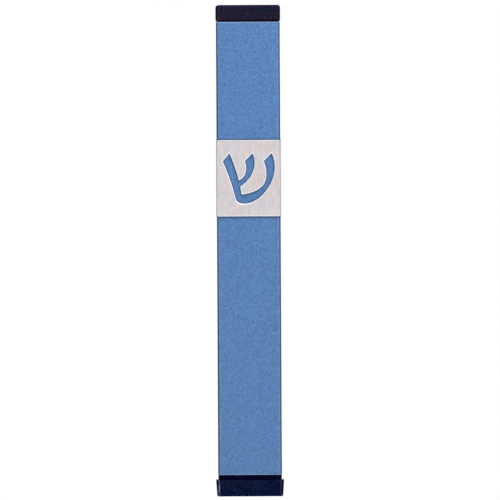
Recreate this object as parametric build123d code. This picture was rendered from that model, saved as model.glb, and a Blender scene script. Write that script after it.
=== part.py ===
from build123d import *
import math
import os

# A mezuzah case: a rectangular aluminium tube closed by two moulded plugs, with a cut-out
# plate on its front and a rolled scroll inside. All sizes are in millimetres.
# Frame: +Z is up the case, -Y is the front, and the doorpost is the plane Y = 0.
# The origin is on the doorpost plane, at the middle of the whole height.

# Tube
TUBE_WIDTH = 20.0
TUBE_DEPTH = 15.0
TUBE_LENGTH = 142.0
TUBE_WALL = 1.5
TUBE_EDGE_R = 0.7
TUBE_INNER_R = 0.3
TUBE_DEBURR = 0.15

# The cap heads and the foam tape hold the tube this far off the doorpost
STAND_OFF = 0.8

# Top cap: an almost flush head above a narrow groove
TOP_HEAD_WIDTH = 20.3
TOP_HEAD_HEIGHT = 4.7
TOP_HEAD_PROUD = 0.2
TOP_HEAD_EDGE_R = 0.9
TOP_NECK_HEIGHT = 0.6
TOP_NECK_INSET = 0.1

# Bottom cap: a neck band under the tube, then a head that stands proud as a finger lip
LIP_WIDTH = 21.3
LIP_FOOT_WIDTH = 20.7
LIP_HEIGHT = 5.1
LIP_PROUD = 0.7
LIP_FOOT_PROUD = 0.3
LIP_EDGE_R = 0.6
BOTTOM_NECK_HEIGHT = 1.6
BOTTOM_NECK_INSET = 0.05
BOTTOM_NECK_CORNER_R = 2.2

# Both caps
CAP_CORNER_R = 1.0

# A nail hole runs from the back of each cap's head and stops short of the front, so the front
# stays whole until a nail breaks through. A shallow dimple on the front shows the place.
NAIL_HOLE_R = 0.9
NAIL_HOLE_DEPTH = 15.2
TOP_NAIL_DROP = 2.4  # from the top of the case
BOTTOM_NAIL_RISE = 3.4  # from the foot of the case
DIMPLE_R = 0.8
DIMPLE_DEPTH = 0.25

# Plug, the part of a cap that goes inside the tube
PLUG_LENGTH = 10.0
PLUG_FIN_GAP = 0.05
PLUG_FIN_COUNT = 3
PLUG_FIN_THICK = 0.8
PLUG_FIN_PITCH = 2.8
PLUG_FIN_HEIGHT = 0.65
PLUG_WALL = 1.4
PLUG_CORNER_R = 0.8
PLUG_LEAD_IN = 0.4

# Plate on the front, and the film that bonds it
PLATE_WIDTH = 20.3
PLATE_HEIGHT = 24.0
PLATE_THICK = 0.8
PLATE_CORNER_R = 0.25
PLATE_EDGE_BREAK = 0.12
PLATE_DROP = 49.0  # from the top of the tube to the middle of the plate
FILM_THICK = 0.1

# Letter: three arms whose cut tops all slope the same way
ARM_TIP = 7.75
ARM_SHOULDER = 5.3

# Scroll: a square sheet rolled up loosely, in a clear sleeve
SHEET_SIDE = 120.0
SHEET_THICK = 0.25
ROLL_PITCH = 0.32
ROLL_CORE_R = 1.5
SLEEVE_LENGTH = 121.2
SLEEVE_WALL = 0.12
SLEEVE_GAP = 0.1
SCROLL_GAP = 0.05

# Foam tape on the back
TAPE_WIDTH = 14.0
TAPE_LENGTH = 130.0

# Heights, from the whole case being centred on the origin
CASE_HEIGHT = TOP_HEAD_HEIGHT + TOP_NECK_HEIGHT + TUBE_LENGTH + BOTTOM_NECK_HEIGHT + LIP_HEIGHT
CASE_TOP = CASE_HEIGHT / 2
TUBE_TOP = CASE_TOP - TOP_HEAD_HEIGHT - TOP_NECK_HEIGHT
TUBE_BOTTOM = TUBE_TOP - TUBE_LENGTH
PLATE_MIDDLE = TUBE_TOP - PLATE_DROP

# Depths
TUBE_BACK = -STAND_OFF
TUBE_FRONT = TUBE_BACK - TUBE_DEPTH
TUBE_AXIS_Y = (TUBE_BACK + TUBE_FRONT) / 2
BORE_WIDTH = TUBE_WIDTH - 2 * TUBE_WALL
BORE_DEPTH = TUBE_DEPTH - 2 * TUBE_WALL


def prism(width, depth, corner_r, height, middle_y=TUBE_AXIS_Y):
    """An upright bar with rounded corners, standing on Z = 0 and centred on X = 0."""
    outline = Pos(0, middle_y) * RectangleRounded(width, depth, corner_r)
    return extrude(outline, height)


def front_slab(outline, front_y, thickness):
    """A sheet that faces the front: the outline is in X and Z, about the plate's middle."""
    plane = Plane(origin=(0, front_y, PLATE_MIDDLE), x_dir=(1, 0, 0), z_dir=(0, -1, 0))
    return extrude(plane * outline, -thickness)


def nail_hole(height, front_y):
    """A blind round hole from the back, with a dimple on the front, at one height."""
    hole = Pos(0, -NAIL_HOLE_DEPTH / 2, height) * Rot(90, 0, 0) * Cylinder(NAIL_HOLE_R, NAIL_HOLE_DEPTH)
    ball_r = (DIMPLE_R**2 + DIMPLE_DEPTH**2) / (2 * DIMPLE_DEPTH)
    dimple = Pos(0, front_y - ball_r + DIMPLE_DEPTH, height) * Sphere(ball_r)
    return hole + dimple


def letter_outline():
    """A plain three-armed Shin, the traditional mark, about the middle of the plate."""
    left_tip = (-6.0, ARM_TIP)
    left_corner = (-8.0, ARM_SHOULDER)
    middle_tip = (1.2, ARM_TIP)
    middle_corner = (-1.1, ARM_SHOULDER)
    right_tip = (7.2, ARM_TIP)
    right_corner = (4.8, ARM_SHOULDER)
    heel_start = (-4.1, -6.1)
    heel_end = (-2.3, -7.9)
    lower_crotch = (-2.25, -5.15)
    middle_root = (-2.7, -2.6)
    upper_crotch = (-3.1, -0.8)
    edges = [
        Line(left_tip, left_corner),
        ThreePointArc(left_corner, (-6.05, 0.4), heel_start),
        ThreePointArc(heel_start, (-3.5, -7.3), heel_end),
        Spline(heel_end, (0.2, -7.75), (4.4, -5.1), (7.55, 0.0), (8.15, 4.2), right_tip),
        Line(right_tip, right_corner),
        Spline(right_corner, (5.65, 1.0), (4.95, -1.75), (1.6, -4.3), lower_crotch),
        Line(lower_crotch, middle_root),
        Spline(middle_root, (0.3, 0.2), (1.8, 4.0), middle_tip),
        Line(middle_tip, middle_corner),
        Spline(middle_corner, (-0.7, 2.4), (-1.2, 0.8), upper_crotch),
        ThreePointArc(upper_crotch, (-4.35, 3.5), left_tip),
    ]
    return make_face(edges)


def body_tube():
    outside = prism(TUBE_WIDTH, TUBE_DEPTH, TUBE_EDGE_R, TUBE_LENGTH)
    ends = outside.faces().filter_by(Axis.Z)
    outside = chamfer(ends.edges(), TUBE_DEBURR)
    bore = prism(BORE_WIDTH, BORE_DEPTH, TUBE_INNER_R, TUBE_LENGTH)
    return Pos(0, 0, TUBE_BOTTOM) * (outside - bore)


def shin_plate():
    outline = RectangleRounded(PLATE_WIDTH, PLATE_HEIGHT, PLATE_CORNER_R)
    front = TUBE_FRONT - FILM_THICK - PLATE_THICK
    plate = front_slab(outline, front, PLATE_THICK)
    front_face = plate.faces().sort_by(Axis.Y)[0]
    plate = chamfer(front_face.edges(), PLATE_EDGE_BREAK)
    return plate - front_slab(letter_outline(), front, PLATE_THICK)


def plate_adhesive():
    outline = RectangleRounded(PLATE_WIDTH, PLATE_HEIGHT, PLATE_CORNER_R)
    return front_slab(outline - letter_outline(), TUBE_FRONT - FILM_THICK, FILM_THICK)


def plug():
    """The part of a cap that goes inside the tube: it starts at Z = 0 and points to +Z."""
    core_width = BORE_WIDTH - 2 * (PLUG_FIN_GAP + PLUG_FIN_HEIGHT)
    core_depth = BORE_DEPTH - 2 * (PLUG_FIN_GAP + PLUG_FIN_HEIGHT)
    core = prism(core_width, core_depth, PLUG_CORNER_R, PLUG_LENGTH)
    core = chamfer(core.faces().sort_by(Axis.Z)[-1].edges(), PLUG_LEAD_IN)
    fin_width = BORE_WIDTH - 2 * PLUG_FIN_GAP
    fin_depth = BORE_DEPTH - 2 * PLUG_FIN_GAP
    for number in range(PLUG_FIN_COUNT):
        fin = prism(fin_width, fin_depth, PLUG_CORNER_R, PLUG_FIN_THICK)
        core += Pos(0, 0, PLUG_FIN_PITCH * (number + 0.5)) * fin
    pocket = prism(core_width - 2 * PLUG_WALL, core_depth - 2 * PLUG_WALL, PLUG_CORNER_R / 2, PLUG_LENGTH)
    return core - pocket


def top_cap():
    depth = TUBE_DEPTH + STAND_OFF + TOP_HEAD_PROUD
    head = prism(TOP_HEAD_WIDTH, depth, CAP_CORNER_R, TOP_HEAD_HEIGHT, -depth / 2)
    head = fillet(head.faces().sort_by(Axis.Z)[-1].edges(), TOP_HEAD_EDGE_R)
    neck_width = TUBE_WIDTH - 2 * TOP_NECK_INSET
    neck_depth = TUBE_DEPTH - 2 * TOP_NECK_INSET
    neck = prism(neck_width, neck_depth, CAP_CORNER_R, TOP_NECK_HEIGHT)
    cap = Pos(0, 0, TUBE_TOP + TOP_NECK_HEIGHT) * head
    cap += Pos(0, 0, TUBE_TOP) * neck
    cap += Pos(0, 2 * TUBE_AXIS_Y, TUBE_TOP) * Rot(180, 0, 0) * plug()
    return cap - nail_hole(CASE_TOP - TOP_NAIL_DROP, TUBE_FRONT - TOP_HEAD_PROUD)


def bottom_cap():
    lip_depth = TUBE_DEPTH + STAND_OFF + LIP_PROUD
    foot_depth = TUBE_DEPTH + STAND_OFF + LIP_FOOT_PROUD
    foot = Pos(0, -foot_depth / 2, 0) * RectangleRounded(LIP_FOOT_WIDTH, foot_depth, CAP_CORNER_R)
    rim = Pos(0, -lip_depth / 2, LIP_HEIGHT) * RectangleRounded(LIP_WIDTH, lip_depth, CAP_CORNER_R)
    head = loft([foot, rim])
    head = fillet(head.faces().sort_by(Axis.Z)[0].edges(), LIP_EDGE_R)
    neck_width = TUBE_WIDTH - 2 * BOTTOM_NECK_INSET
    neck_depth = TUBE_DEPTH - 2 * BOTTOM_NECK_INSET
    neck = prism(neck_width, neck_depth, BOTTOM_NECK_CORNER_R, BOTTOM_NECK_HEIGHT)
    cap = Pos(0, 0, -CASE_TOP) * head
    cap += Pos(0, 0, TUBE_BOTTOM - BOTTOM_NECK_HEIGHT) * neck
    cap += Pos(0, 0, TUBE_BOTTOM) * plug()
    share = BOTTOM_NAIL_RISE / LIP_HEIGHT
    front_y = -foot_depth + (foot_depth - lip_depth) * share
    return cap - nail_hole(-CASE_TOP + BOTTOM_NAIL_RISE, front_y)


def spiral_strip():
    """The end view of a sheet rolled up from its core, as half circles of growing radius."""
    half_step = ROLL_PITCH / 2
    inner_edges = []
    outer_edges = []
    unrolled = 0.0
    turn = 0
    radius = ROLL_CORE_R
    while unrolled < SHEET_SIDE:
        side = 1 if turn % 2 == 0 else -1
        middle = side * half_step / 2
        for edges, r in ((inner_edges, radius), (outer_edges, radius + SHEET_THICK)):
            start = (middle - side * r, 0)
            top = (middle, side * r)
            end = (middle + side * r, 0)
            edges.append(ThreePointArc(start, top, end))
        unrolled += math.pi * (radius + SHEET_THICK / 2)
        radius += half_step
        turn += 1
    first = Line(inner_edges[0] @ 0, outer_edges[0] @ 0)
    last = Line(inner_edges[-1] @ 1, outer_edges[-1] @ 1)
    return make_face([*inner_edges, *outer_edges, first, last]), radius - half_step + SHEET_THICK


def scroll():
    """The rolled parchment and its clear sleeve, standing on the rim of the bottom plug."""
    foot = TUBE_BOTTOM + PLUG_LENGTH + SCROLL_GAP
    strip, roll_r = spiral_strip()
    inner_r = roll_r + ROLL_PITCH / 4 + SLEEVE_GAP
    parchment = Pos(0, TUBE_AXIS_Y, foot + (SLEEVE_LENGTH - SHEET_SIDE) / 2) * extrude(strip, SHEET_SIDE)
    ring = Circle(inner_r + SLEEVE_WALL) - Circle(inner_r)
    sleeve = Pos(0, TUBE_AXIS_Y, foot) * extrude(ring, SLEEVE_LENGTH)
    print("roll radius", round(roll_r, 2), "sleeve outer radius", round(inner_r + SLEEVE_WALL, 2))
    return parchment, sleeve


def mounting_tape():
    return Pos(0, -STAND_OFF / 2, 0) * Box(TAPE_WIDTH, STAND_OFF, TAPE_LENGTH)


parchment_roll, sleeve_tube = scroll()
parts = {
    "body_tube": body_tube(),
    "shin_plate": shin_plate(),
    "plate_adhesive": plate_adhesive(),
    "top_cap": top_cap(),
    "bottom_cap": bottom_cap(),
    "parchment": parchment_roll,
    "scroll_sleeve": sleeve_tube,
    "mounting_tape": mounting_tape(),
}

os.makedirs("parts", exist_ok=True)
for name, shape in parts.items():
    export_step(shape, f"parts/{name}.step")
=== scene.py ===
import math

import bmesh
import bpy
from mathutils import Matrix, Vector, noise


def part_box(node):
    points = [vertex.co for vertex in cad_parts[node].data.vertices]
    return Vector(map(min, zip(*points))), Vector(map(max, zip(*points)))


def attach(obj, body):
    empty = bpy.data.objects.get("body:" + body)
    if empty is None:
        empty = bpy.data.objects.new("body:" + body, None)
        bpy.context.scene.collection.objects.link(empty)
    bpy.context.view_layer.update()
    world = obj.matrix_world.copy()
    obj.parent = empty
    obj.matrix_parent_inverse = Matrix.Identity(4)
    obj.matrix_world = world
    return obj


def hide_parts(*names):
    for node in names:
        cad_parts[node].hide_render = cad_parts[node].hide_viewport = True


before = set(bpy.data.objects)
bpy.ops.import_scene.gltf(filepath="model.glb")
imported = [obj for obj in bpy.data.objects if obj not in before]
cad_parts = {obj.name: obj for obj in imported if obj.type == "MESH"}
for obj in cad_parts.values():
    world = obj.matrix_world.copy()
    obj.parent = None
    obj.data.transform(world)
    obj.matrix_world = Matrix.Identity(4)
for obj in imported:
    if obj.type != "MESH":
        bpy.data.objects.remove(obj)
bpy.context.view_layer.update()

# The looks of a mezuzah case. Everything is in metres, in the frame's own coordinates.
MM = 0.001

# Places and sizes that follow the frame
TUBE_LOW, TUBE_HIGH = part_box("body_tube")
PLATE_LOW, PLATE_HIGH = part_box("shin_plate")
TOP_LOW, TOP_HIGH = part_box("top_cap")
LIP_LOW, LIP_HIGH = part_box("bottom_cap")
ROLL_LOW, ROLL_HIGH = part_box("parchment")
SLEEVE_LOW, SLEEVE_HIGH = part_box("scroll_sleeve")
TAPE_LOW, TAPE_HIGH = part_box("mounting_tape")

TUBE_WIDTH = TUBE_HIGH.x - TUBE_LOW.x
TUBE_DEPTH = TUBE_HIGH.y - TUBE_LOW.y
TUBE_MIDDLE_Y = (TUBE_HIGH.y + TUBE_LOW.y) / 2
TUBE_WALL = 1.5 * MM
TUBE_EDGE_R = 0.7 * MM
TUBE_INNER_R = 0.3 * MM
TUBE_END_BREAK = 0.15 * MM
TUBE_END_STEPS = 3
TUBE_CORNER_STEPS = 6
CAP_CORNER_R = 1.0 * MM
TOP_NECK = 0.6 * MM
FOOT_NECK = 1.6 * MM
PLATE_BREAK = 0.28 * MM
PLATE_BREAK_STEPS = 4
CAP_SOFT_EDGE = 0.12 * MM
# How far the dark film comes out past the plate, as a rim of painted shade
FILM_SHADE_RIM = 0.2 * MM
GLUE_FLUSH = 1.0 * MM  # this near the plate's two sides, the film doesn't come out sideways

# The rolled sheet
SHEET_PITCH = 0.32 * MM
SHEET_THICK = 0.22 * MM
SHEET_CORE_R = 1.5 * MM
SHEET_CLEAR = 0.05 * MM
SHEET_SLIP = 0.35 * MM
SHEET_SLIP_RATE = 3.1  # radians of the slip's wave in each turn
SHEET_WAVE = 0.02 * MM
SHEET_WAVES = (2.3, 9)  # in each turn, and over the height
SHEET_STEPS_PER_TURN = 40
SHEET_ROWS = 24

# The film round it
FILM_THICK = 0.04 * MM
FILM_START = math.radians(200)
FILM_OVERLAP = math.radians(38)
FILM_CLEAR = 0.13 * MM
FILM_GROWTH = 0.06 * MM
FILM_CREASE = 0.025 * MM
FILM_CREASES = (7, 12)  # round the film, and over its height
FILM_SEED = 3
FILM_STEPS = 72
FILM_ROWS = 30

# The foam strip
TAPE_TRIM = 0.15 * MM
TAPE_BULGE = 0.06 * MM
TAPE_WANDER = 0.12 * MM
TAPE_WANDERS = 14  # over its length
TAPE_SEED = 1
TAPE_SOFT_EDGE = 0.06 * MM
TAPE_ROWS = 90

# Mesh work
WELD = 0.002 * MM
SAME_PLANE = math.radians(0.5)
HARD_EDGE = math.radians(32)
FACES_FRONT = -0.9  # a face looks forward if its normal's Y is under this
FACES_ASIDE = 0.5  # a face is a side wall if its normal's Y is nearer 0 than this

# Camera: a very long lens, far back, so that the case shows almost without perspective
LENS = 900.0
SENSOR = 36.0
FRAME_SIDE = 156.6 * MM
CAMERA_ROLL = math.radians(0.30)
CAMERA_ASIDE = Vector((0.33 * MM, 0, 0.19 * MM))

# Floor, lights and the glow of the studio around them
FLOOR_Z = -0.24
FLOOR_R = 1.6
FLOOR_SIDES = 96
KEY_PLACE = (0.35, -0.9, 0.95)
KEY_SIDE = 0.7
KEY_WATTS = 14
FILL_PLACE = (-0.5, 0.9, 0.5)
FILL_SIDE = 0.8
FILL_WATTS = 6
GLOW = (("X", 0.22, 0.48), ("Y", 0.42, 0.0), ("Z", 0.0, 0.3))  # each axis from its low to its high end
WHITE = (1, 1, 1, 1)


# ---------------------------------------------------------------- materials


class Shade:
    """One procedural material, with a short call for each kind of node it uses."""

    def __init__(self, name, roughness, metallic=0.0, specular=0.5):
        self.material = bpy.data.materials.new(name)
        self.material.use_nodes = True
        self.tree = self.material.node_tree
        self.shader = self.tree.nodes["Principled BSDF"]
        self.shader.inputs["Roughness"].default_value = roughness
        self.shader.inputs["Metallic"].default_value = metallic
        self.shader.inputs["Specular IOR Level"].default_value = specular
        self.place = self.tree.nodes.new("ShaderNodeTexCoord").outputs["Object"]
        self.normal = None

    def link(self, source, target):
        self.tree.links.new(source, target)

    def feed(self, target, value):
        """Puts a socket, a colour or a number into a socket."""
        if isinstance(value, bpy.types.NodeSocket):
            self.link(value, target)
        elif isinstance(value, tuple) and len(value) == 3 and target.type == "RGBA":
            target.default_value = (*value, 1)
        else:
            target.default_value = value

    def axis(self, name):
        """One coordinate of the surface point, in metres."""
        split = self.tree.nodes.new("ShaderNodeSeparateXYZ")
        self.link(self.place, split.inputs[0])
        return split.outputs[name]

    def noise(self, scale, detail=2.0, stretch=(1, 1, 1), roughness=0.5):
        """Noise from 0 to 1, with the scale in features per metre."""
        mapping = self.tree.nodes.new("ShaderNodeMapping")
        mapping.inputs["Scale"].default_value = stretch
        self.link(self.place, mapping.inputs["Vector"])
        texture = self.tree.nodes.new("ShaderNodeTexNoise")
        texture.inputs["Scale"].default_value = scale
        texture.inputs["Detail"].default_value = detail
        texture.inputs["Roughness"].default_value = roughness
        self.link(mapping.outputs[0], texture.inputs["Vector"])
        return texture.outputs["Fac"]

    def cells(self, scale):
        """Distance to the nearest of many scattered points."""
        texture = self.tree.nodes.new("ShaderNodeTexVoronoi")
        texture.inputs["Scale"].default_value = scale
        self.link(self.place, texture.inputs["Vector"])
        return texture.outputs["Distance"]

    def span(self, value, low, high, out_low, out_high, smooth=True):
        """Value carried from the range low..high to out_low..out_high."""
        node = self.tree.nodes.new("ShaderNodeMapRange")
        node.interpolation_type = "SMOOTHSTEP" if smooth else "LINEAR"
        self.feed(node.inputs["Value"], value)
        node.inputs["From Min"].default_value = low
        node.inputs["From Max"].default_value = high
        node.inputs["To Min"].default_value = out_low
        node.inputs["To Max"].default_value = out_high
        return node.outputs["Result"]

    def maths(self, operation, first, second=0.0):
        node = self.tree.nodes.new("ShaderNodeMath")
        node.operation = operation
        self.feed(node.inputs[0], first)
        self.feed(node.inputs[1], second)
        return node.outputs[0]

    def blend(self, amount, first, second, mode="MIX"):
        """Two colours mixed by an amount from 0 to 1.

        The node's colour sockets share their names with others, so they go by number.
        """
        node = self.tree.nodes.new("ShaderNodeMix")
        node.data_type = "RGBA"
        node.blend_type = mode
        self.feed(node.inputs["Factor"], amount)
        self.feed(node.inputs[6], first)
        self.feed(node.inputs[7], second)
        return node.outputs[2]

    def tone(self, colour, *values):
        """A colour made lighter or darker by each value, where 1 leaves it alone."""
        for value in values:
            colour = self.blend(1.0, colour, value, "MULTIPLY")
        return colour

    def inside(self, name, low, high):
        """How far inside a box's two sides a point is, along one axis."""
        bottom, top = getattr(low, name.lower()), getattr(high, name.lower())
        away = self.maths("ABSOLUTE", self.maths("SUBTRACT", self.axis(name), (top + bottom) / 2))
        return self.maths("SUBTRACT", (top - bottom) / 2, away)

    def from_sides(self, low, high):
        """How far inside a box's sides a point is, along X and along Y."""
        return [self.inside(name, low, high) for name in ("X", "Y")]

    def corners(self, low, high, reach):
        """1 on a box's four upright corners and 0 this far from them."""
        near = [self.span(gap, reach / 2, reach, 1, 0) for gap in self.from_sides(low, high)]
        return self.maths("MULTIPLY", *near)

    def corner_lines(self, low, high, inset, reach):
        """1 on the lines where the round of each upright corner meets its two flat faces."""
        gaps = self.from_sides(low, high)
        lines = []
        for gap, other in (gaps, gaps[::-1]):
            off = self.maths("ABSOLUTE", self.maths("SUBTRACT", gap, inset))
            line = self.span(off, 0, reach, 1, 0)
            on_round = self.span(other, inset * 0.6, inset, 1, 0)
            lines.append(self.maths("MULTIPLY", line, on_round))
        return self.maths("MAXIMUM", *lines)

    def plate_gap(self):
        """Distance from the plate's upper and lower edges, on the front of the tube only."""
        middle = (PLATE_HIGH.z + PLATE_LOW.z) / 2
        away = self.maths("ABSOLUTE", self.maths("SUBTRACT", self.axis("Z"), middle))
        gap = self.maths("ABSOLUTE", self.maths("SUBTRACT", away, (PLATE_HIGH.z - PLATE_LOW.z) / 2))
        behind = self.maths("SUBTRACT", self.axis("Y"), TUBE_LOW.y)
        return self.maths("ADD", gap, self.maths("MAXIMUM", behind, 0.0))

    def end_gap(self, along):
        """Distance from the nearer end of the tube."""
        from_top = self.maths("SUBTRACT", TUBE_HIGH.z, along)
        from_foot = self.maths("SUBTRACT", along, TUBE_LOW.z)
        return self.maths("MINIMUM", from_top, from_foot)

    def bump(self, height, depth):
        """Adds a relief of this depth, in metres."""
        node = self.tree.nodes.new("ShaderNodeBump")
        node.inputs["Strength"].default_value = 1.0
        node.inputs["Distance"].default_value = depth
        self.link(height, node.inputs["Height"])
        if self.normal is not None:
            self.link(self.normal, node.inputs["Normal"])
        self.normal = node.outputs["Normal"]
        self.link(self.normal, self.shader.inputs["Normal"])

    def colour(self, value):
        self.feed(self.shader.inputs["Base Color"], value)

    def roughness(self, value):
        self.feed(self.shader.inputs["Roughness"], value)


def anodised_blue():
    """Matt anodised aluminium: grain and faint die lines, with painted shade and painted highlights."""
    look = Shade("anodised_blue", 0.5, metallic=0.55)
    grain = look.noise(2700, detail=3, roughness=0.6)
    fine = look.noise(5200, detail=1)
    pit = look.noise(1250, detail=2)
    blotch = look.noise(75, detail=3)
    die_line = look.noise(1500, detail=2, stretch=(1, 1, 0.01))
    along = look.axis("Z")
    speckle = look.span(grain, 0.3, 0.7, 0, 1)
    fade = look.span(along, TUBE_LOW.z, TUBE_HIGH.z, 0, 1, smooth=False)
    upper = look.blend(speckle, (0.044, 0.128, 0.300), (0.088, 0.198, 0.415))
    lower = look.blend(speckle, (0.044, 0.120, 0.268), (0.088, 0.186, 0.372))
    colour = look.tone(
        look.blend(fade, lower, upper),
        look.span(pit, 0.3, 0.7, 0.95, 1.05),
        look.span(fine, 0.3, 0.7, 0.7, 1.3),
        look.span(blotch, 0.3, 0.7, 0.98, 1.02),
        look.span(die_line, 0.3, 0.7, 0.98, 1.02),
    )
    # Painted shade on the long corners, darker on the left and fading towards the back.
    corner_shade_colour = (0.012, 0.026, 0.052)
    tube_highlight_colour = (0.17, 0.24, 0.33)
    end_highlight_colour = (0.25, 0.31, 0.42)
    edge = look.corners(TUBE_LOW, TUBE_HIGH, 0.56 * MM)
    to_right = look.span(look.axis("X"), TUBE_LOW.x, TUBE_HIGH.x, 0.9, 0.72, smooth=False)
    to_back = look.span(look.axis("Y"), TUBE_LOW.y, TUBE_HIGH.y, 1, 0.25)
    shade = look.maths("MULTIPLY", edge, look.maths("MULTIPLY", to_right, to_back))
    colour = look.blend(shade, colour, corner_shade_colour)
    # Painted highlight lines where each corner's round meets a flat face, broken up by noise and fading
    # towards the back.
    highlight_mask = look.span(look.noise(650, detail=4), 0.42, 0.66, 0.1, 0.65)
    lines = look.corner_lines(TUBE_LOW, TUBE_HIGH, TUBE_EDGE_R, 0.3 * MM)
    highlight_weight = look.maths("MULTIPLY", lines, look.maths("MULTIPLY", highlight_mask, to_back))
    colour = look.blend(highlight_weight, colour, tube_highlight_colour)
    # Painted shade along the plate's upper and lower edges, on the front of the tube.
    colour = look.tone(colour, look.span(look.plate_gap(), 0.05 * MM, 0.42 * MM, 0.22, 1))
    # Painted highlight along the tube's two ends, next to the caps.
    cut = look.span(look.end_gap(along), 0.2 * MM, 0.36 * MM, 0.5, 0)
    look.colour(look.blend(cut, colour, end_highlight_colour))
    look.roughness(look.span(grain, 0.3, 0.7, 0.42, 0.6))
    look.bump(grain, 0.014 * MM)
    look.bump(die_line, 0.006 * MM)
    return look.material


def brushed_plate():
    """Clear-anodised aluminium, brushed up and down, a little darker down its two cut sides."""
    look = Shade("brushed_plate", 0.4, metallic=0.85)
    hair = look.noise(4200, detail=3, stretch=(1, 1, 0.07), roughness=0.65)
    stroke = look.noise(1500, detail=2, stretch=(1, 1, 0.03))
    scratch = look.noise(6500, detail=1, stretch=(1, 1, 0.25))
    cloud = look.noise(190, detail=3)
    side = look.inside("X", PLATE_LOW, PLATE_HIGH)
    warm = (0.634, 0.572, 0.575)
    cool = (0.597, 0.574, 0.594)
    colour = look.tone(
        look.blend(look.span(cloud, 0.38, 0.62, 0, 1), warm, cool),
        look.span(hair, 0.28, 0.72, 0.87, 1.11),
        look.span(scratch, 0.3, 0.7, 0.93, 1.07),
        look.span(stroke, 0.3, 0.7, 0.98, 1.02),
        look.span(side, 0.1 * MM, 0.55 * MM, 0.8, 1),
    )
    look.colour(colour)
    look.roughness(look.span(hair, 0.28, 0.72, 0.34, 0.5))
    look.shader.inputs["Anisotropic"].default_value = 0.5
    look.bump(hair, 0.008 * MM)
    return look.material


def painted_highlight_edge():
    """Painted highlight on the plate's rounded edges, with painted shade at the sides and the top."""
    look = Shade("painted_highlight_edge", 0.5, metallic=0.8)
    chatter = look.noise(1800, detail=3)
    colour = look.tone(
        (0.72, 0.76, 0.87),
        look.span(chatter, 0.3, 0.7, 0.88, 1.08),
        look.span(look.inside("X", PLATE_LOW, PLATE_HIGH), 0.3 * MM, 0.6 * MM, 0.52, 1),
        look.span(look.axis("Z"), PLATE_HIGH.z - 0.6 * MM, PLATE_HIGH.z - 0.3 * MM, 1, 0.6),
    )
    look.colour(colour)
    look.roughness(look.span(chatter, 0.3, 0.7, 0.42, 0.58))
    look.bump(chatter, 0.008 * MM)
    return look.material


def cap_plastic(name, low, high, levels, dark, warm, highlight_strength, shine):
    """Near-black moulded plastic: spark texture, dust, painted shade and painted highlights.

    The levels are the tube's end, where the cap's head starts and where it ends. The recess is the
    set-back band between the first two, darkened as painted shade. The colour turns from dark to warm
    near the tube, in random patches and as a painted reflection.
    """
    tube_end, head_start, head_end = levels
    recess_shade_colour = (0.0001, 0.0006, 0.0105)
    cap_highlight_colour = (0.17, 0.165, 0.26)
    dust_colour = (0.10, 0.09, 0.12)
    look = Shade(name, 0.42, specular=shine)
    mottle = look.noise(1500, detail=4)
    patch = look.noise(240, detail=3)
    speck = look.span(look.cells(1000), 0.10, 0.16, 1, 0)
    dust = look.maths("MULTIPLY", speck, look.span(look.noise(520), 0.5, 0.62, 0, 1))
    # Dark turning to warm near the tube: random patches, and a painted reflection.
    near_tube = look.span(look.axis("Z"), head_start, head_end, 1, 0)
    warm_patches_and_reflection = look.maths("MULTIPLY", look.span(patch, 0.4, 0.62, 0.3, 1), near_tube)
    colour = look.blend(warm_patches_and_reflection, dark, warm)
    colour = look.tone(colour, look.span(mottle, 0.3, 0.7, 0.4, 1.7))
    # Painted shade on the four upright corners.
    edge = look.corners(low, high, 0.8 * MM)
    colour = look.tone(colour, look.span(edge, 0, 1, 1, 0.4))
    # Painted shade in the set-back band between the tube and the cap's head.
    recess_middle = (tube_end + head_start) / 2
    into_recess = look.maths("ABSOLUTE", look.maths("SUBTRACT", look.axis("Z"), recess_middle))
    half_recess = abs(head_start - tube_end) / 2
    recess_shade = look.span(into_recess, half_recess - 0.1 * MM, half_recess + 0.1 * MM, 1, 0)
    colour = look.blend(recess_shade, colour, recess_shade_colour)
    # Painted highlight lines on the upright corners, strongest on the left and the front, broken up by
    # noise.
    lines = look.corner_lines(low, high, CAP_CORNER_R, 0.34 * MM)
    highlight_left = look.span(look.axis("X"), low.x * 0.5, high.x * 0.5, 1, 0.1)
    patchy = look.span(look.noise(700, detail=4), 0.38, 0.6, 0.3, 1)
    highlight_front = look.span(look.axis("Y"), low.y, high.y, 1, 0.1)
    highlight_weight = look.maths("MULTIPLY", highlight_left, highlight_front)
    highlight_mask = look.maths("MULTIPLY", look.maths("MULTIPLY", lines, highlight_weight), patchy)
    colour = look.blend(look.maths("MULTIPLY", highlight_mask, highlight_strength), colour, cap_highlight_colour)
    look.colour(look.blend(look.maths("MULTIPLY", dust, 0.5), colour, dust_colour))
    look.roughness(look.span(mottle, 0.3, 0.7, 0.34, 0.55))
    look.bump(look.noise(4200, detail=2), 0.02 * MM)
    look.bump(mottle, 0.02 * MM)
    return look.material


def parchment_skin():
    """Prepared hide: warm, faintly veined and freckled with pores."""
    look = Shade("parchment", 0.72, specular=0.3)
    fibre = look.noise(900, detail=5)
    cloud = look.noise(45, detail=3)
    pore = look.span(look.cells(1800), 0.1, 0.22, 0.86, 1)
    tan = (0.46, 0.33, 0.19)
    cream = (0.56, 0.44, 0.29)
    colour = look.blend(look.span(cloud, 0.35, 0.65, 0, 1), tan, cream)
    look.colour(look.tone(colour, look.span(fibre, 0.3, 0.7, 0.9, 1.06), pore))
    look.roughness(look.span(fibre, 0.3, 0.7, 0.62, 0.82))
    look.shader.inputs["Subsurface Weight"].default_value = 0.08
    look.shader.inputs["Subsurface Scale"].default_value = 0.5 * MM
    look.bump(fibre, 0.03 * MM)
    return look.material


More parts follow.
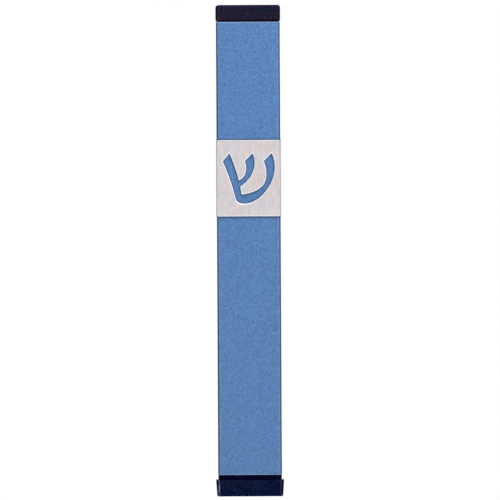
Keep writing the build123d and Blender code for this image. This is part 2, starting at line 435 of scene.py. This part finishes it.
def clear_film():
    """Thin clear film with soft creases and a few smears."""
    look = Shade("clear_film", 0.12)
    smear = look.noise(160, detail=3, stretch=(1, 1, 0.3))
    look.colour(look.tone((0.93, 0.96, 0.98), look.span(smear, 0.3, 0.7, 0.96, 1.02)))
    look.feed(look.shader.inputs["Alpha"], look.span(smear, 0.3, 0.7, 0.07, 0.15))
    look.roughness(look.span(smear, 0.3, 0.7, 0.06, 0.22))
    look.bump(look.noise(240, detail=2, stretch=(1, 1, 0.2)), 0.05 * MM)
    return look.material


def foam_tape():
    """Matt white foam with open cells, stained a little."""
    look = Shade("foam_tape", 0.75, specular=0.3)
    cells = look.cells(2600)
    stain = look.noise(120, detail=3)
    colour = look.tone(
        (0.74, 0.74, 0.71),
        look.span(cells, 0.1, 0.6, 0.86, 1.03),
        look.span(stain, 0.3, 0.7, 0.95, 1.03),
    )
    look.colour(colour)
    look.roughness(look.span(stain, 0.3, 0.7, 0.62, 0.85))
    look.bump(cells, 0.05 * MM)
    return look.material


def adhesive_film():
    """The double-sided film under the plate, dark as painted shade where it shows, with dust on it."""
    look = Shade("adhesive_film", 0.5, specular=0.3)
    dust = look.noise(1400, detail=3)
    film_shade_colour = (0.014, 0.022, 0.040)
    dusty = (0.06, 0.075, 0.10)
    look.colour(look.blend(look.span(dust, 0.45, 0.75, 0, 0.6), film_shade_colour, dusty))
    look.roughness(look.span(dust, 0.3, 0.7, 0.4, 0.7))
    look.bump(dust, 0.02 * MM)
    return look.material


# ---------------------------------------------------------------- meshes


def rounded_ring(width, depth, radius, z):
    """Points round a rectangle with rounded corners, about the tube's axis and at one height."""
    points = []
    corners = ((1, 1), (-1, 1), (-1, -1), (1, -1))
    for number, (side_x, side_y) in enumerate(corners):
        centre_x = side_x * (width / 2 - radius)
        centre_y = TUBE_MIDDLE_Y + side_y * (depth / 2 - radius)
        for step in range(TUBE_CORNER_STEPS + 1):
            angle = math.radians(90 * (number + step / TUBE_CORNER_STEPS))
            x = centre_x + radius * math.cos(angle)
            y = centre_y + radius * math.sin(angle)
            points.append(Vector((x, y, z)))
    return points


def add_piece(name, mesh, body, material, slot, *stands_for):
    """Puts a finished mesh in the scene, on a CAD body, standing for CAD nodes."""
    piece = bpy.data.objects.new(name, mesh)
    bpy.context.scene.collection.objects.link(piece)
    mesh.materials.append(material)
    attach(piece, body)
    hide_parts(*stands_for)
    return piece


def smooth_mesh(name, work):
    """A new mesh from a finished bmesh, with every face shaded smooth."""
    mesh = bpy.data.meshes.new(name)
    work.to_mesh(mesh)
    work.free()
    mesh.polygons.foreach_set("use_smooth", [True] * len(mesh.polygons))
    return mesh


def loft(name, rings, closed):
    """A mesh of quads between rings of points. Closed joins the last ring to the first."""
    work = bmesh.new()
    rows = [[work.verts.new(point) for point in ring] for ring in rings]
    pairs = list(zip(rows, rows[1:]))
    if closed:
        pairs.append((rows[-1], rows[0]))
    for row, after in pairs:
        count = len(row)
        for i in range(count):
            j = (i + 1) % count
            work.faces.new((row[i], row[j], after[j], after[i]))
    if not closed:
        work.faces.new(rows[0])
        work.faces.new(rows[-1])
    bmesh.ops.recalc_face_normals(work, faces=work.faces)
    return smooth_mesh(name, work)


def settle(piece):
    """Applies a piece's modifiers to its mesh."""
    graph = bpy.context.evaluated_depsgraph_get()
    finished = bpy.data.meshes.new_from_object(piece.evaluated_get(graph))
    piece.modifiers.clear()
    piece.data = finished


def flatten(piece):
    """Keeps wide faces looking flat beside the small round ones at their edges."""
    normals = piece.modifiers.new("flat_faces", "WEIGHTED_NORMAL")
    normals.mode = "FACE_AREA"
    normals.keep_sharp = True
    settle(piece)


def soften(piece, width, segments=3):
    """Rounds every hard edge a little."""
    bevel = piece.modifiers.new("soft_edges", "BEVEL")
    bevel.width = width
    bevel.segments = segments
    bevel.limit_method = "ANGLE"
    bevel.angle_limit = HARD_EDGE
    flatten(piece)


def welded(node):
    """A CAD node's mesh, with the points that its triangles share made one."""
    work = bmesh.new()
    work.from_mesh(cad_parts[node].data)
    bmesh.ops.remove_doubles(work, verts=work.verts, dist=WELD)
    return work


def clean_copy(node, name):
    """A welded copy of a CAD node's mesh, with its flat faces whole again."""
    work = welded(node)
    bmesh.ops.dissolve_limit(
        work,
        angle_limit=SAME_PLANE,
        verts=work.verts,
        edges=work.edges,
        use_dissolve_boundaries=False,
    )
    return smooth_mesh(name, work)


def tube_section():
    """The wall's outline as (inset from the outside, height), with both end edges broken."""
    low, high = TUBE_LOW.z, TUBE_HIGH.z
    arc = []
    for step in range(TUBE_END_STEPS + 1):
        angle = math.radians(90 * step / TUBE_END_STEPS)
        arc.append((TUBE_END_BREAK * (1 - math.sin(angle)), TUBE_END_BREAK * (1 - math.cos(angle))))
    foot = [(inset, low + rise) for inset, rise in arc]
    head = [(inset, high - rise) for inset, rise in reversed(arc)]
    inner_break = TUBE_END_BREAK / 2
    inside = [
        (TUBE_WALL - inner_break, high),
        (TUBE_WALL, high - inner_break),
        (TUBE_WALL, low + inner_break),
        (TUBE_WALL - inner_break, low),
    ]
    return foot + head + inside


def make_tube(material):
    """The extruded tube: its wall's section carried round the rectangle."""
    rings = []
    for inset, z in tube_section():
        radius = TUBE_EDGE_R + (TUBE_INNER_R - TUBE_EDGE_R) * inset / TUBE_WALL
        width = TUBE_WIDTH - 2 * inset
        depth = TUBE_DEPTH - 2 * inset
        rings.append(rounded_ring(width, depth, radius, z))
    mesh = loft("tube", rings, closed=True)
    piece = add_piece("tube", mesh, "case", material, "anodised_blue", "body_tube")
    flatten(piece)


def front_outlines(node):
    """The closed outlines of a flat CAD piece's front, as lists of points in order."""
    work = welded(node)
    rim = []
    for edge in work.edges:
        on_front = [face.normal.y < FACES_FRONT for face in edge.link_faces]
        if on_front.count(True) == 1:
            rim.append(edge)
    outlines = []
    while rim:
        verts = list(rim.pop().verts)
        onward = True
        while onward:
            onward = [edge for edge in verts[-1].link_edges if edge in rim]
            if onward:
                rim.remove(onward[0])
                verts.append(onward[0].other_vert(verts[-1]))
        outlines.append([vert.co.copy() for vert in verts[:-1]])
    work.free()
    return outlines


def shifted(points, distance):
    """A closed outline in X and Z moved sideways: outwards if the distance is positive."""
    area = sum(a.x * b.z - b.x * a.z for a, b in zip(points, points[1:] + points[:1]))
    side = math.copysign(1, area) * distance
    moved = []
    for before, here, after in zip(points[-1:] + points[:-1], points, points[1:] + points[:1]):
        arrive = (here - before).normalized()
        leave = (after - here).normalized()
        out = Vector((arrive.z + leave.z, 0, -arrive.x - leave.x))
        moved.append(here + out * side / (1 + arrive.dot(leave)))
    return moved


def rim_rows(work, outline, into_metal):
    """Rows of points from the plate's front, round its soft edge and back along its wall."""
    rows = []
    for step in range(PLATE_BREAK_STEPS + 1):
        angle = math.radians(90 * step / PLATE_BREAK_STEPS)
        rim = shifted(outline, into_metal * PLATE_BREAK * (1 - math.sin(angle)))
        depth = PLATE_LOW.y + PLATE_BREAK * (1 - math.cos(angle))
        rows.append([work.verts.new((point.x, depth, point.z)) for point in rim])
    rows.append([work.verts.new((point.x, PLATE_HIGH.y, point.z)) for point in outline])
    return rows


def make_plate(material, edge_material):
    """The plate: the outlines of the film behind it, carried to the front and rounded there."""
    outlines = front_outlines("plate_adhesive")
    outer = max(outlines, key=lambda points: max(point.x for point in points))
    work = bmesh.new()
    front_edges = []
    back_edges = []
    for outline in outlines:
        rows = rim_rows(work, outline, into_metal=-1 if outline is outer else 1)
        for number, (row, after) in enumerate(zip(rows, rows[1:])):
            for i in range(len(row)):
                j = (i + 1) % len(row)
                face = work.faces.new((row[i], row[j], after[j], after[i]))
                face.material_index = 1 if number < PLATE_BREAK_STEPS else 0
        for edges, row in ((front_edges, rows[0]), (back_edges, rows[-1])):
            edges += [work.edges.get(pair) for pair in zip(row, row[1:] + row[:1])]
    for edge in back_edges:
        edge.smooth = False
    for edges in (front_edges, back_edges):
        bmesh.ops.triangle_fill(work, edges=edges, use_beauty=True)
    bmesh.ops.recalc_face_normals(work, faces=work.faces)
    mesh = smooth_mesh("plate", work)
    piece = add_piece("plate", mesh, "case", material, "brushed_plate", "shin_plate")
    mesh.materials.append(edge_material)
    flatten(piece)


def make_film_shade_rim(material):
    """The film under the plate; its rim past the cut-out and the upper and lower edges is painted shade.
    """
    mesh = clean_copy("plate_adhesive", "film_shade_rim")
    work = bmesh.new()
    work.from_mesh(mesh)
    work.normal_update()
    beside = PLATE_HIGH.x - GLUE_FLUSH
    moves = {}
    for vert in work.verts:
        walls = [face.normal for face in vert.link_faces if abs(face.normal.y) < FACES_ASIDE]
        move = sum(walls, Vector((0, 0, 0))).normalized() * FILM_SHADE_RIM
        if abs(vert.co.x) > beside:
            move.x = 0
        moves[vert] = move
    for vert, move in moves.items():
        vert.co += move
    work.to_mesh(mesh)
    work.free()
    add_piece("film_shade_rim", mesh, "case", material, "adhesive_film", "plate_adhesive")


def make_cap(node, name, body, material):
    """A moulded cap with soft edges."""
    piece = add_piece(name, clean_copy(node, name), body, material, "cap_plastic", node)
    soften(piece, CAP_SOFT_EDGE)


def wound_sheet(name, low, high, rows, steps, thick, place):
    """A thin sheet wound round the scroll's axis, from the low height to the high one.

    The place function takes how far along the winding and how far up a point is, both from 0 to 1,
    and gives its angle, the sheet's inner radius there and how far the point has slipped up.
    """
    rings = []
    for row in range(rows + 1):
        share = row / rows
        z = low + (high - low) * share
        inner = []
        outer = []
        for step in range(steps + 1):
            angle, radius, slip = place(step / steps, share)
            for points, r in ((inner, radius), (outer, radius + thick)):
                x = math.cos(angle) * r
                y = TUBE_MIDDLE_Y + math.sin(angle) * r
                points.append(Vector((x, y, z + slip)))
        rings.append(outer + inner[::-1])
    return loft(name, rings, closed=False)


def make_parchment(material):
    """The rolled sheet: a spiral whose turns have slipped a little along the roll."""
    outer_r = (ROLL_HIGH.x - ROLL_LOW.x) / 2 - SHEET_CLEAR
    turns = (outer_r - SHEET_THICK - SHEET_CORE_R) / SHEET_PITCH
    steps = round(turns * SHEET_STEPS_PER_TURN)

    def place(part, share):
        turn = turns * part
        round_it, up_it = SHEET_WAVES
        wave = SHEET_WAVE * noise.noise(Vector((turn * round_it, share * up_it, 0)))
        slip = SHEET_SLIP * (1 - part) * math.sin(SHEET_SLIP_RATE * turn)
        return 2 * math.pi * turn, SHEET_CORE_R + SHEET_PITCH * turn + wave, slip

    mesh = wound_sheet("parchment_roll", ROLL_LOW.z, ROLL_HIGH.z, SHEET_ROWS, steps, SHEET_THICK, place)
    add_piece("parchment_roll", mesh, "scroll", material, "parchment", "parchment")


def make_sleeve(material):
    """The clear sleeve: a film wrapped once with a short overlap."""
    start_r = (SLEEVE_HIGH.x - SLEEVE_LOW.x) / 2 - FILM_CLEAR

    def place(part, share):
        angle = FILM_START + (2 * math.pi + FILM_OVERLAP) * part
        round_it, up_it = FILM_CREASES
        crease = FILM_CREASE * noise.noise(Vector((part * round_it, share * up_it, FILM_SEED)))
        return angle, start_r + FILM_GROWTH * part + crease, 0

    mesh = wound_sheet("sleeve", SLEEVE_LOW.z, SLEEVE_HIGH.z, FILM_ROWS, FILM_STEPS, FILM_THICK, place)
    add_piece("sleeve", mesh, "scroll", material, "clear_film", "scroll_sleeve")


def make_tape(material):
    """The foam strip: cut by hand, so its edges wander, and soft at its corners."""
    low, high = TAPE_LOW, TAPE_HIGH
    half = (high.x - low.x) / 2 - TAPE_TRIM
    section = ((1, 0.0), (1, 0.5), (1, 1.0), (-1, 1.0), (-1, 0.5), (-1, 0.0))
    rings = []
    for row in range(TAPE_ROWS + 1):
        share = row / TAPE_ROWS
        z = low.z + (high.z - low.z) * share
        wander = TAPE_WANDER * noise.noise(Vector((share * TAPE_WANDERS, TAPE_SEED, 0)))
        ring = []
        for side, depth in section:
            bulge = TAPE_BULGE * (1 - abs(2 * depth - 1))
            y = low.y + (high.y - low.y) * depth
            ring.append(Vector((side * (half + bulge) + wander, y, z)))
        rings.append(ring)
    mesh = loft("tape", rings, closed=False)
    piece = add_piece("tape", mesh, "case", material, "foam_tape", "mounting_tape")
    soften(piece, TAPE_SOFT_EDGE, segments=2)


# ---------------------------------------------------------------- stage, light and camera


def make_floor():
    """A plain pale floor, far enough below for the bottom cap to come right out."""
    bpy.ops.mesh.primitive_circle_add(
        vertices=FLOOR_SIDES,
        radius=FLOOR_R,
        fill_type="NGON",
        location=(0, 0, FLOOR_Z),
    )
    floor = bpy.context.object
    floor.name = "floor"
    look = Shade("pale_floor", 0.7)
    look.colour((0.86, 0.86, 0.85))
    floor.data.materials.append(look.material)


def make_world():
    """White behind everything. The light it gives comes mostly from the front, right and above."""
    world = bpy.data.worlds.new("studio")
    bpy.context.scene.world = world
    world.use_nodes = True
    tree = world.node_tree
    tree.nodes.clear()
    place = tree.nodes.new("ShaderNodeTexCoord")
    split = tree.nodes.new("ShaderNodeSeparateXYZ")
    tree.links.new(place.outputs["Generated"], split.inputs[0])
    total = None
    for name, low, high in GLOW:
        ramp = tree.nodes.new("ShaderNodeMapRange")
        ramp.inputs["From Min"].default_value = -1
        ramp.inputs["To Min"].default_value = low
        ramp.inputs["To Max"].default_value = high
        tree.links.new(split.outputs[name], ramp.inputs["Value"])
        if total is None:
            total = ramp.outputs[0]
            continue
        add = tree.nodes.new("ShaderNodeMath")
        add.operation = "ADD"
        tree.links.new(total, add.inputs[0])
        tree.links.new(ramp.outputs[0], add.inputs[1])
        total = add.outputs[0]
    glow = tree.nodes.new("ShaderNodeBackground")
    tree.links.new(total, glow.inputs["Strength"])
    white = tree.nodes.new("ShaderNodeBackground")
    seen = tree.nodes.new("ShaderNodeLightPath")
    mix = tree.nodes.new("ShaderNodeMixShader")
    out = tree.nodes.new("ShaderNodeOutputWorld")
    white.inputs["Color"].default_value = WHITE
    glow.inputs["Color"].default_value = WHITE
    tree.links.new(seen.outputs["Is Camera Ray"], mix.inputs[0])
    tree.links.new(glow.outputs[0], mix.inputs[1])
    tree.links.new(white.outputs[0], mix.inputs[2])
    tree.links.new(mix.outputs[0], out.inputs["Surface"])


def add_light(name, place, size, watts):
    """A large soft square light that points at the case."""
    data = bpy.data.lights.new(name, "AREA")
    data.shape = "SQUARE"
    data.size = size
    data.energy = watts
    light = bpy.data.objects.new(name, data)
    light.location = place
    light.rotation_euler = (-Vector(place)).to_track_quat("-Z", "Y").to_euler()
    light.visible_camera = False
    bpy.context.scene.collection.objects.link(light)


def make_camera():
    """The camera, square to the plate and rolled a little, as far back as its lens needs."""
    data = bpy.data.cameras.new("camera")
    data.lens = LENS
    data.sensor_width = SENSOR
    camera = bpy.data.objects.new("camera", data)
    distance = FRAME_SIDE / 2 * LENS / (SENSOR / 2)
    camera.location = CAMERA_ASIDE + Vector((0, PLATE_LOW.y - distance, 0))
    camera.rotation_euler = (math.radians(90), CAMERA_ROLL, 0)
    bpy.context.scene.collection.objects.link(camera)
    bpy.context.scene.camera = camera


bpy.context.scene.view_settings.view_transform = "Standard"
make_tube(anodised_blue())
make_plate(brushed_plate(), painted_highlight_edge())
# One plastic for both caps; the foot's bluer, darker colours and stronger corner lines are painted
# reflection and painted highlight.
top_plastic = cap_plastic(
    "cap_plastic_top",
    TOP_LOW,
    TOP_HIGH,
    (TUBE_HIGH.z, TUBE_HIGH.z + TOP_NECK, TOP_HIGH.z),
    dark=(0.005, 0.006, 0.020),
    warm=(0.010, 0.006, 0.014),
    highlight_strength=0.1,
    shine=0.04,
)
foot_plastic = cap_plastic(
    "cap_plastic_foot",
    LIP_LOW,
    LIP_HIGH,
    (TUBE_LOW.z, TUBE_LOW.z - FOOT_NECK, LIP_LOW.z),
    dark=(0.0, 0.0034, 0.0215),
    warm=(0.0040, 0.0060, 0.0215),
    highlight_strength=1.0,
    shine=0.018,
)
make_cap("top_cap", "upper_cap", "top_cap", top_plastic)
make_cap("bottom_cap", "lower_cap", "bottom_cap", foot_plastic)
make_parchment(parchment_skin())
make_sleeve(clear_film())
make_tape(foam_tape())
make_film_shade_rim(adhesive_film())

make_floor()
make_world()
add_light("key_light", KEY_PLACE, KEY_SIDE, KEY_WATTS)
add_light("back_fill", FILL_PLACE, FILL_SIDE, FILL_WATTS)
make_camera()
